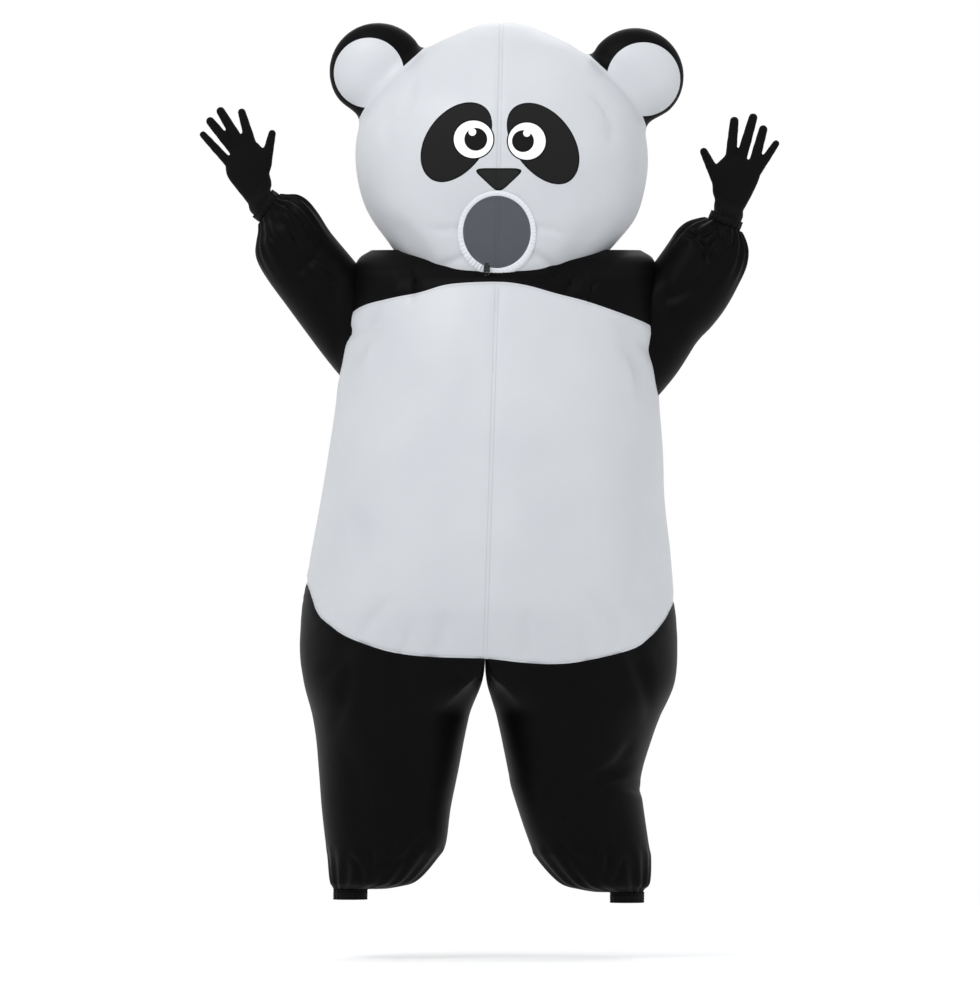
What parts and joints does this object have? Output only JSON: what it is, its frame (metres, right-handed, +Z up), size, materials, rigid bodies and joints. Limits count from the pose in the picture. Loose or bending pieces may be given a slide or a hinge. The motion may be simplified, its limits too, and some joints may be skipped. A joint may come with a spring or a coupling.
{
  "type": "inflatable panda costume",
  "caption": "Inflatable full-body panda costume, worn and blown up, arms raised: white head and belly, black ears, yoke, sleeves, gloves and legs.",
  "frame": {"origin": "on the wearer's shoulder line, midway between front and back, where the wearer's shoulders carry the costume", "axes": "+Z up, -Y towards the costume's front, +X towards the wearer's left"},
  "size_m": [1.2746, 0.6489, 1.934],
  "materials": {
    "white_taffeta": "satin",
    "black_taffeta": "satin",
    "black_elastic": "matte",
    "white_elastic": "matte",
    "black_knit": "matte",
    "black_plastic": "moulded, matte",
    "zip_tape": "woven, matte",
    "zip_metal": "satin"
  },
  "bodies": {
    "costume": {"head_front_left": "white_taffeta", "head_front_right": "white_taffeta", "head_back_left": "white_taffeta", "head_back_right": "white_taffeta", "belly_left": "white_taffeta", "belly_right": "white_taffeta", "back_left": "white_taffeta", "back_right": "white_taffeta", "ear_back_left": "black_taffeta", "ear_back_right": "black_taffeta", "yoke_front": "black_taffeta", "yoke_back_left": "black_taffeta", "yoke_back_right": "black_taffeta", "sleeve_left": "black_taffeta", "sleeve_right": "black_taffeta", "leg_front_left": "black_taffeta", "leg_front_right": "black_taffeta", "leg_back_left": "black_taffeta", "leg_back_right": "black_taffeta", "wrist_cuff_left": "black_elastic", "wrist_cuff_right": "black_elastic", "ankle_cuff_left": "black_elastic", "ankle_cuff_right": "black_elastic", "face_binding": "white_elastic", "glove_left": "black_knit", "glove_right": "black_knit", "cord_lock": "black_plastic", "zip_tape": "zip_tape", "zip_slider": "zip_metal", "blower_housing": "black_plastic", "blower_grille": "black_plastic"},
    "pull": {"zip_pull": "zip_metal"},
    "fan": {"impeller": "black_plastic"}
  },
  "joints": [
    {"name": "pull_swing", "type": "hinge", "parent": "costume", "child": "pull", "pos_m": [0.00268, 0.22976, -0.03569], "axis": [1, 0, 0], "range_deg": [0, 160]},
    {"name": "fan_spin", "type": "hinge", "parent": "costume", "child": "fan", "pos_m": [-0.15, 0.28465, -0.5], "axis": [-0.2406, 0.9706, 0], "continuous": true}
  ]
}
